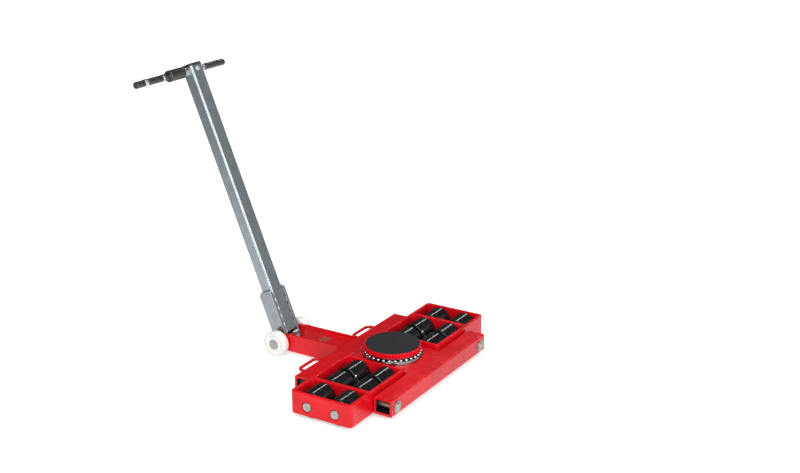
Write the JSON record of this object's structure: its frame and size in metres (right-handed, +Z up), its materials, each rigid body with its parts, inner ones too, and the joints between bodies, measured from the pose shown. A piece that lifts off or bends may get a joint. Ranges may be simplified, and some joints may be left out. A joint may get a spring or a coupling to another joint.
{
  "type": "machine skate",
  "caption": "Steerable machine skate: turntable load pad on a ball race, rocking roller units between hollow beams, drawbar with support wheels and a folding T-handle tow bar",
  "frame": {"origin": "centre of the load pad's top face, on the turntable axis; the floor is 110 mm below", "axes": "+X to the right roller unit seen from the rear, +Y forward along the drawbar, +Z up out of the load pad"},
  "size_m": [0.808, 0.9548, 0.9188],
  "materials": {
    "red_paint": "gloss signal-red paint",
    "roller_black": "hard black polymer, turned",
    "pad_rubber": "matte",
    "bare_steel": "turned",
    "race_steel": "ground",
    "dark_steel": "satin black",
    "ball_steel": "polished",
    "bronze": "plain",
    "white_nylon": "smooth white",
    "zinc": "zinc plated",
    "bright_zinc": "zinc plated, bright",
    "dark_cap": "moulded",
    "chrome": "polished",
    "black_grip": "satin",
    "blank_label": "blank, satin"
  },
  "bodies": {
    "chassis": {"front_beam": "red_paint", "rear_beam": "red_paint", "bolster": "red_paint", "king_bush": "bronze", "lower_race": "race_steel", "race_screws": "bare_steel", "drawbar_left_wall": "red_paint", "drawbar_right_wall": "red_paint", "drawbar_top_plate": "red_paint", "rating_plate": "blank_label", "left_grab_loop": "red_paint", "right_grab_loop": "red_paint", "wheel_axle": "bare_steel", "axle_caps": "bare_steel", "fork_spacers": "race_steel", "pivot_pins": "bare_steel", "pin_rings": "bare_steel", "pin_bosses": "red_paint"},
    "turntable": {"turntable_plate": "red_paint", "load_pad": "pad_rubber", "upper_race": "race_steel", "king_pin": "bare_steel", "king_nut": "bare_steel"},
    "ball_ring": {"bearing_balls": "ball_steel", "ball_cage": "dark_steel"},
    "tow_bar": {"tow_tube": "zinc", "left_fork_plate": "bright_zinc", "right_fork_plate": "bright_zinc", "fork_tube": "race_steel", "tow_cap": "dark_cap", "handle_bar": "chrome", "handle_sleeve": "black_grip", "near_grips": "black_grip", "far_grip": "black_grip", "handle_collars": "chrome", "handle_bolt": "race_steel"},
    "left_unit": {"left_unit_frame": "red_paint", "left_unit_divider": "red_paint", "left_unit_web": "dark_steel", "left_unit_axles": "bare_steel", "left_pin_bushes": "bronze"},
    "left_front_roller_1": {"left_front_roller_1": "roller_black"},
    "left_front_roller_2": {"left_front_roller_2": "roller_black"},
    "left_front_roller_3": {"left_front_roller_3": "roller_black"},
    "left_rear_roller_1": {"left_rear_roller_1": "roller_black"},
    "left_rear_roller_2": {"left_rear_roller_2": "roller_black"},
    "left_rear_roller_3": {"left_rear_roller_3": "roller_black"},
    "left_wheel": {"left_support_wheel": "white_nylon"},
    "right_unit": {"right_unit_frame": "red_paint", "right_unit_divider": "red_paint", "right_unit_web": "dark_steel", "right_unit_axles": "bare_steel", "right_pin_bushes": "bronze"},
    "right_front_roller_1": {"right_front_roller_1": "roller_black"},
    "right_front_roller_2": {"right_front_roller_2": "roller_black"},
    "right_front_roller_3": {"right_front_roller_3": "roller_black"},
    "right_rear_roller_1": {"right_rear_roller_1": "roller_black"},
    "right_rear_roller_2": {"right_rear_roller_2": "roller_black"},
    "right_rear_roller_3": {"right_rear_roller_3": "roller_black"},
    "right_wheel": {"right_support_wheel": "white_nylon"}
  },
  "joints": [
    {"name": "turntable_turn", "type": "hinge", "parent": "chassis", "child": "turntable", "pos_m": [0, 0, -0.018], "axis": [0, 0, 1], "continuous": true},
    {"name": "ball_ring_turn", "type": "hinge", "parent": "chassis", "child": "ball_ring", "pos_m": [0, 0, -0.02725], "axis": [0, 0, 1], "continuous": true},
    {"name": "left_unit_rock", "type": "hinge", "parent": "chassis", "child": "left_unit", "pos_m": [-0.2575, 0, -0.07], "axis": [0, 1, 0], "range_deg": [-3, 3]},
    {"name": "left_front_roller_1_roll", "type": "hinge", "parent": "left_unit", "child": "left_front_roller_1", "pos_m": [-0.348, 0.0485, -0.068], "axis": [1, 0, 0], "continuous": true},
    {"name": "left_front_roller_2_roll", "type": "hinge", "parent": "left_unit", "child": "left_front_roller_2", "pos_m": [-0.2455, 0.0485, -0.068], "axis": [1, 0, 0], "continuous": true},
    {"name": "left_front_roller_3_roll", "type": "hinge", "parent": "left_unit", "child": "left_front_roller_3", "pos_m": [-0.1545, 0.0485, -0.068], "axis": [1, 0, 0], "continuous": true},
    {"name": "left_rear_roller_1_roll", "type": "hinge", "parent": "left_unit", "child": "left_rear_roller_1", "pos_m": [-0.348, -0.0485, -0.068], "axis": [1, 0, 0], "continuous": true},
    {"name": "left_rear_roller_2_roll", "type": "hinge", "parent": "left_unit", "child": "left_rear_roller_2", "pos_m": [-0.2455, -0.0485, -0.068], "axis": [1, 0, 0], "continuous": true},
    {"name": "left_rear_roller_3_roll", "type": "hinge", "parent": "left_unit", "child": "left_rear_roller_3", "pos_m": [-0.1545, -0.0485, -0.068], "axis": [1, 0, 0], "continuous": true},
    {"name": "left_wheel_roll", "type": "hinge", "parent": "chassis", "child": "left_wheel", "pos_m": [-0.068, 0.401, -0.068], "axis": [1, 0, 0], "continuous": true},
    {"name": "right_unit_rock", "type": "hinge", "parent": "chassis", "child": "right_unit", "pos_m": [0.2575, 0, -0.07], "axis": [0, 1, 0], "range_deg": [-3, 3]},
    {"name": "right_front_roller_1_roll", "type": "hinge", "parent": "right_unit", "child": "right_front_roller_1", "pos_m": [0.348, 0.0485, -0.068], "axis": [1, 0, 0], "continuous": true},
    {"name": "right_front_roller_2_roll", "type": "hinge", "parent": "right_unit", "child": "right_front_roller_2", "pos_m": [0.2455, 0.0485, -0.068], "axis": [1, 0, 0], "continuous": true},
    {"name": "right_front_roller_3_roll", "type": "hinge", "parent": "right_unit", "child": "right_front_roller_3", "pos_m": [0.1545, 0.0485, -0.068], "axis": [1, 0, 0], "continuous": true},
    {"name": "right_rear_roller_1_roll", "type": "hinge", "parent": "right_unit", "child": "right_rear_roller_1", "pos_m": [0.348, -0.0485, -0.068], "axis": [1, 0, 0], "continuous": true},
    {"name": "right_rear_roller_2_roll", "type": "hinge", "parent": "right_unit", "child": "right_rear_roller_2", "pos_m": [0.2455, -0.0485, -0.068], "axis": [1, 0, 0], "continuous": true},
    {"name": "right_rear_roller_3_roll", "type": "hinge", "parent": "right_unit", "child": "right_rear_roller_3", "pos_m": [0.1545, -0.0485, -0.068], "axis": [1, 0, 0], "continuous": true},
    {"name": "right_wheel_roll", "type": "hinge", "parent": "chassis", "child": "right_wheel", "pos_m": [0.068, 0.401, -0.068], "axis": [1, 0, 0], "continuous": true},
    {"name": "tow_bar_swing", "type": "hinge", "parent": "chassis", "child": "tow_bar", "pos_m": [0, 0.401, -0.068], "axis": [1, 0, 0], "range_deg": [-62, 27]}
  ],
  "couplings": [
    {"joint": "ball_ring_turn", "follows": "turntable_turn", "ratio": 0.5}
  ]
}
